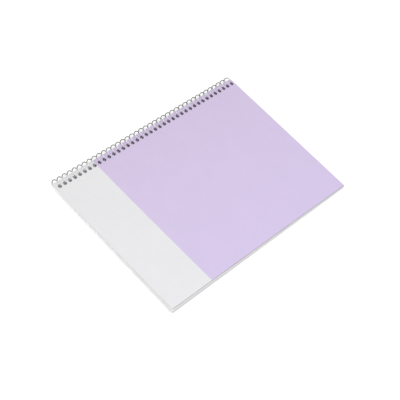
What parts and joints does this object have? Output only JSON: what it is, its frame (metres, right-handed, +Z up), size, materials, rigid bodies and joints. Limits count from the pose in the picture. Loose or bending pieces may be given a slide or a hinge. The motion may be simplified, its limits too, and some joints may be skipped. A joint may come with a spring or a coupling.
{
  "type": "coil-bound notebook",
  "caption": "Landscape notebook of plain card covers and pages held by a wire coil along one long side, with a pale band and a lilac field on its front cover.",
  "frame": {"origin": "on the table, under the middle of the whole notebook's footprint", "axes": "+X along the spine from the pale band's end to the lilac end, +Y from the fore-edge to the wire coil, +Z up from the table"},
  "size_m": [0.253, 0.1824, 0.0108],
  "materials": {
    "front_cover": "smooth pale card, matt",
    "lilac_field": "flat lilac print, matt",
    "page_block": "white writing paper, trimmed edges",
    "back_cover": "smooth pale card, matt",
    "binding_coil": "drawn steel wire, satin"
  },
  "bodies": {
    "pages": {"page_block": "page_block", "binding_coil": "binding_coil"},
    "front": {"front_cover": "front_cover", "lilac_field": "lilac_field"},
    "back": {"back_cover": "back_cover"}
  },
  "joints": [
    {"name": "front_cover_turn", "type": "hinge", "parent": "pages", "child": "front", "pos_m": [0, 0.08624, 0.00641], "axis": [-1, 0, 0], "range_deg": [0, 180]},
    {"name": "back_cover_turn", "type": "hinge", "parent": "pages", "child": "back", "pos_m": [0, 0.0855, 0.00515], "axis": [1, 0, 0], "range_deg": [0, 70]}
  ]
}
